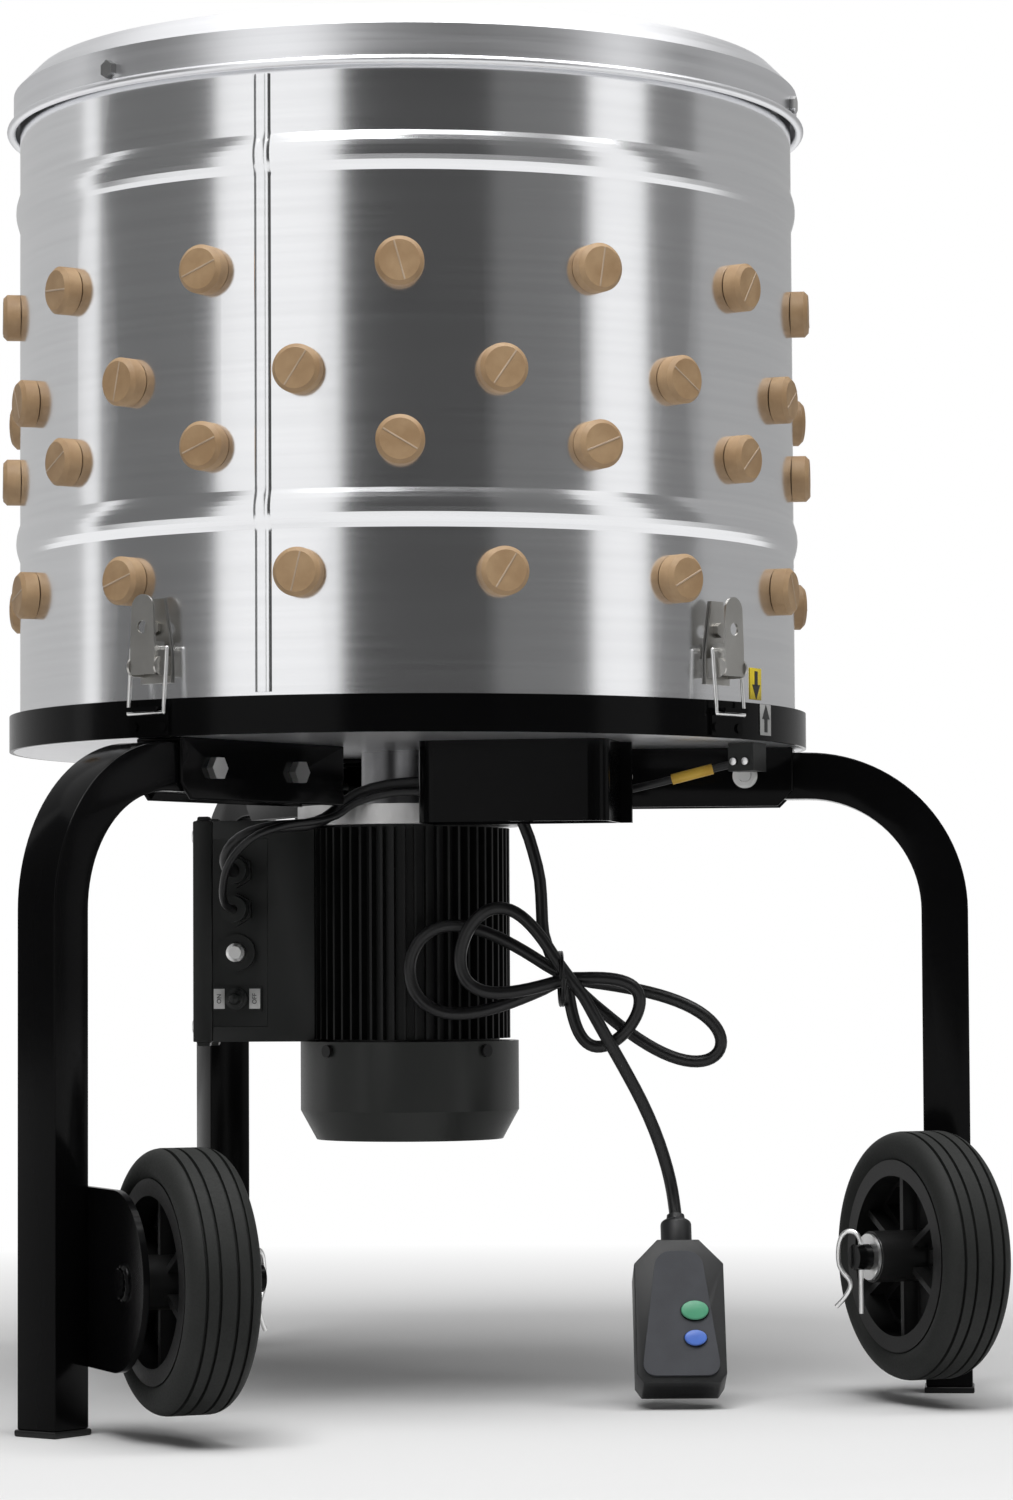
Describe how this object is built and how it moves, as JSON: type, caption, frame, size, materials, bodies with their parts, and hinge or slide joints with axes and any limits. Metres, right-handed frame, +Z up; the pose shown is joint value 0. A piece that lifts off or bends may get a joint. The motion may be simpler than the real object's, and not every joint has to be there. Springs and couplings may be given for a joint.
{
  "type": "poultry plucker",
  "caption": "Drum poultry plucker on bent legs with transport wheels: rubber fingers in the wall and on a turning plate, a geared motor, latches, a control box and a power cord.",
  "frame": {"origin": "on the floor under the middle of the machine's box, cord left out", "axes": "+Z up, -Y towards the feather chute and the wheels"},
  "size_m": [0.65, 0.6865, 0.8596],
  "materials": {
    "stainless": "polished",
    "black_paint": "gloss",
    "finger_rubber": "satin",
    "zinc": "bright",
    "steel": "satin",
    "gear_brass": "satin",
    "cast_alloy": "satin",
    "motor_black": "painted satin",
    "tyre_rubber": "matte",
    "black_plastic": "satin",
    "cord_rubber": "satin",
    "plug_plastic": "satin",
    "button_steel": "bright",
    "blue_key": "gloss",
    "green_key": "gloss"
  },
  "bodies": {
    "machine": {"drum_shell": "stainless", "rim_cover": "stainless", "base_pan": "stainless", "base_ring": "black_paint", "feather_chute": "black_paint", "frame_channels": "black_paint", "leg_left": "black_paint", "leg_right": "black_paint", "leg_back": "black_paint", "wheel_bracket_left": "black_paint", "wheel_bracket_right": "black_paint", "latch_catches": "black_paint", "wall_fingers": "finger_rubber", "rim_bolts": "zinc", "latch_bases": "zinc", "leg_bolts": "zinc", "axle_washers": "zinc", "hitch_clips": "zinc", "fan_cover_screws": "zinc", "safety_switch": "zinc", "wheel_axles": "steel", "drive_bearings": "steel", "motor_stator": "steel", "motor_flange": "cast_alloy", "gear_housing": "cast_alloy", "motor_housing": "motor_black", "foot_caps": "black_plastic", "fan_cover": "black_plastic", "control_box": "black_plastic", "control_lid": "black_plastic", "panel_fittings": "black_plastic", "cord_lead": "cord_rubber", "cord_hank": "cord_rubber", "cord_tail": "cord_rubber", "switch_cable": "cord_rubber", "plug_body": "plug_plastic"},
    "turntable": {"output_shaft": "steel", "feather_plate": "stainless", "plate_fingers": "finger_rubber"},
    "rotor": {"motor_rotor": "steel", "motor_fan": "black_plastic"},
    "wheel_left": {"wheel_hub_left": "black_plastic", "wheel_tyre_left": "tyre_rubber"},
    "wheel_right": {"wheel_hub_right": "black_plastic", "wheel_tyre_right": "tyre_rubber"},
    "reset_cap": {"reset_button": "button_steel"},
    "toggle": {"toggle_switch": "black_plastic"},
    "test_key": {"plug_keys_test": "blue_key"},
    "reset_key": {"plug_keys_reset": "green_key"},
    "planet_1": {"planet_gear_1": "gear_brass"},
    "planet_2": {"planet_gear_2": "gear_brass"},
    "planet_3": {"planet_gear_3": "gear_brass"},
    "lever_1": {"latch_lever_1": "zinc"},
    "bail_1": {"latch_bail_1": "zinc"},
    "lever_2": {"latch_lever_2": "zinc"},
    "bail_2": {"latch_bail_2": "zinc"},
    "lever_3": {"latch_lever_3": "zinc"},
    "bail_3": {"latch_bail_3": "zinc"},
    "lever_4": {"latch_lever_4": "zinc"},
    "bail_4": {"latch_bail_4": "zinc"}
  },
  "joints": [
    {"name": "plate_spin", "type": "hinge", "parent": "machine", "child": "turntable", "pos_m": [0, -0.02275, 0.436], "axis": [0, 0, 1], "continuous": true},
    {"name": "motor_spin", "type": "hinge", "parent": "machine", "child": "rotor", "pos_m": [0, -0.02275, 0.3], "axis": [0, 0, 1], "continuous": true},
    {"name": "planet_1_spin", "type": "hinge", "parent": "turntable", "child": "planet_1", "pos_m": [0.0144, -0.02275, 0.387], "axis": [0, 0, 1], "continuous": true},
    {"name": "planet_2_spin", "type": "hinge", "parent": "turntable", "child": "planet_2", "pos_m": [-0.0072, -0.01028, 0.387], "axis": [0, 0, 1], "continuous": true},
    {"name": "planet_3_spin", "type": "hinge", "parent": "turntable", "child": "planet_3", "pos_m": [-0.0072, -0.03522, 0.387], "axis": [0, 0, 1], "continuous": true},
    {"name": "wheel_left_spin", "type": "hinge", "parent": "machine", "child": "wheel_left", "pos_m": [-0.246, -0.26575, 0.093], "axis": [1, 0, 0], "continuous": true},
    {"name": "wheel_right_spin", "type": "hinge", "parent": "machine", "child": "wheel_right", "pos_m": [0.246, -0.26575, 0.093], "axis": [1, 0, 0], "continuous": true},
    {"name": "lever_1_swing", "type": "hinge", "parent": "machine", "child": "lever_1", "pos_m": [-0.22863, -0.15475, 0.459], "axis": [0.5, -0.866, 0], "range_deg": [0, 100]},
    {"name": "bail_1_swing", "type": "hinge", "parent": "lever_1", "child": "bail_1", "pos_m": [-0.2269, -0.15375, 0.47], "axis": [0.5, -0.866, 0], "range_deg": [-82, 0]},
    {"name": "lever_2_swing", "type": "hinge", "parent": "machine", "child": "lever_2", "pos_m": [0.11573, -0.26003, 0.459], "axis": [0.8988, 0.4384, 0], "range_deg": [0, 100]},
    {"name": "bail_2_swing", "type": "hinge", "parent": "lever_2", "child": "bail_2", "pos_m": [0.11485, -0.25823, 0.47], "axis": [0.8988, 0.4384, 0], "range_deg": [-82, 0]},
    {"name": "lever_3_swing", "type": "hinge", "parent": "machine", "child": "lever_3", "pos_m": [0.22863, 0.10925, 0.459], "axis": [-0.5, 0.866, 0], "range_deg": [0, 100]},
    {"name": "bail_3_swing", "type": "hinge", "parent": "lever_3", "child": "bail_3", "pos_m": [0.2269, 0.10825, 0.47], "axis": [-0.5, 0.866, 0], "range_deg": [-82, 0]},
    {"name": "lever_4_swing", "type": "hinge", "parent": "machine", "child": "lever_4", "pos_m": [-0.11573, 0.21453, 0.459], "axis": [-0.8988, -0.4384, 0], "range_deg": [0, 100]},
    {"name": "bail_4_swing", "type": "hinge", "parent": "lever_4", "child": "bail_4", "pos_m": [-0.11485, 0.21273, 0.47], "axis": [-0.8988, -0.4384, 0], "range_deg": [-82, 0]},
    {"name": "reset_press", "type": "slide", "parent": "machine", "child": "reset_cap", "axis": [0.4695, 0.8829, 0], "range_m": [0, 0.003], "stiffness_N_per_m": 300},
    {"name": "toggle_flip", "type": "hinge", "parent": "machine", "child": "toggle", "pos_m": [-0.11158, 0.0017, 0.255], "axis": [0, 0, 1], "range_deg": [-12, 12]},
    {"name": "test_key_press", "type": "slide", "parent": "machine", "child": "test_key", "axis": [0.357, 0.8409, -0.4067], "range_m": [0, 0.0015], "stiffness_N_per_m": 400},
    {"name": "reset_key_press", "type": "slide", "parent": "machine", "child": "reset_key", "axis": [0.357, 0.8409, -0.4067], "range_m": [0, 0.0015], "stiffness_N_per_m": 400}
  ],
  "couplings": [
    {"joint": "motor_spin", "follows": "plate_spin", "ratio": 6},
    {"joint": "planet_1_spin", "follows": "plate_spin", "ratio": -2.5},
    {"joint": "planet_2_spin", "follows": "plate_spin", "ratio": -2.5},
    {"joint": "planet_3_spin", "follows": "plate_spin", "ratio": -2.5},
    {"joint": "bail_1_swing", "follows": "lever_1_swing", "ratio": -0.82},
    {"joint": "bail_2_swing", "follows": "lever_2_swing", "ratio": -0.82},
    {"joint": "bail_3_swing", "follows": "lever_3_swing", "ratio": -0.82},
    {"joint": "bail_4_swing", "follows": "lever_4_swing", "ratio": -0.82}
  ]
}
